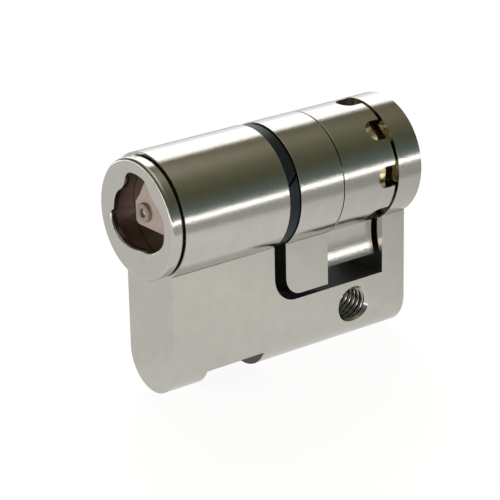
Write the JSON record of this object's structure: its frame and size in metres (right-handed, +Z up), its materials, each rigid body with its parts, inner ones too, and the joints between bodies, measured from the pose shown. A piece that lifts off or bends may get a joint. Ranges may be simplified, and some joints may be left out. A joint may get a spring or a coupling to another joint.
{
  "type": "euro profile half cylinder lock",
  "caption": "Half cylinder for a door lock case: profile body with leg, rotating electronic core with a lobed key socket and spring contact, cam ring with nose, and index ring.",
  "frame": {"origin": "middle of the cross hole for the fixing screw, in the mid-plane of the leg", "axes": "+Y from the key face into the door, along the barrel; +Z up from the leg to the barrel; +X to the right as seen from the key side"},
  "size_m": [0.017, 0.0409, 0.033],
  "materials": {
    "satin_nickel": "satin nickel plating over brass",
    "turned_nickel": "finely turned nickel plating over brass",
    "polished_nickel": "satin face with a polished bevel",
    "nickel_silver": "dull nickel silver, darkened inside the socket",
    "hardened_steel": "ground hardened steel",
    "spring_steel": "drawn spring wire",
    "black_oxide": "blackened steel, semi-matte",
    "brass": "machined brass",
    "soft_iron": "bare soft iron",
    "copper_winding": "enamelled copper wire",
    "gold_plate": "gold plating",
    "pale_plastic": "moulded, semi-matte",
    "dark_plastic": "moulded, matte",
    "board": "green solder mask",
    "seal_rubber": "black nitrile rubber"
  },
  "bodies": {
    "housing": {"housing": "satin_nickel", "guard_pin_1": "hardened_steel", "guard_pin_2": "hardened_steel", "rear_bush": "brass", "thrust_washer": "spring_steel"},
    "core": {"face_cap": "polished_nickel", "key_seat": "nickel_silver", "core_shell": "brass", "o_ring": "seal_rubber", "guard_disc": "hardened_steel", "guard_ball_1": "hardened_steel", "guard_ball_2": "hardened_steel", "guard_ball_3": "hardened_steel", "guard_ball_4": "hardened_steel", "contact_insulator": "pale_plastic", "contact_terminal": "brass", "chassis": "dark_plastic", "circuit_board": "board", "control_chip": "dark_plastic", "memory_chip": "dark_plastic", "capacitor": "pale_plastic", "solenoid_can": "soft_iron", "bobbin": "pale_plastic", "coil": "copper_winding", "pole_piece": "soft_iron", "retaining_clip": "black_oxide", "cam_ring": "turned_nickel", "index_ring": "turned_nickel", "ring_dowel_1": "hardened_steel", "ring_dowel_2": "hardened_steel", "drive_key": "hardened_steel", "core_tail": "brass", "tail_pin": "hardened_steel", "index_pin_keeper": "hardened_steel", "contact_spring": "spring_steel", "plunger_spring": "spring_steel", "side_bar_spring_1": "spring_steel", "side_bar_spring_2": "spring_steel", "index_spring": "spring_steel"},
    "contact": {"contact_pin": "gold_plate"},
    "plunger": {"plunger": "soft_iron"},
    "side_bar": {"side_bar": "hardened_steel"},
    "index_pin": {"index_pin": "hardened_steel"}
  },
  "joints": [
    {"name": "core_spin", "type": "hinge", "parent": "housing", "child": "core", "pos_m": [0, 0, 0.0186], "axis": [0, 1, 0], "continuous": true},
    {"name": "contact_press", "type": "slide", "parent": "core", "child": "contact", "axis": [0, 1, 0], "range_m": [0, 0.0008], "stiffness_N_per_m": 300, "springref_m": -0.0015, "deforming": ["contact_spring"]},
    {"name": "plunger_slide", "type": "slide", "parent": "core", "child": "plunger", "axis": [0, -1, 0], "range_m": [0, 0.0022], "deforming": ["plunger_spring"]},
    {"name": "side_bar_slide", "type": "slide", "parent": "core", "child": "side_bar", "axis": [-1, 0, 0], "range_m": [0, 0.0012], "deforming": ["side_bar_spring_1", "side_bar_spring_2"]},
    {"name": "index_pin_press", "type": "slide", "parent": "core", "child": "index_pin", "axis": [1, 0, 0], "range_m": [0, 0.0019], "stiffness_N_per_m": 400, "springref_m": -0.001, "deforming": ["index_spring"]}
  ],
  "couplings": [
    {"joint": "side_bar_slide", "follows": "plunger_slide", "ratio": 0.5454}
  ]
}
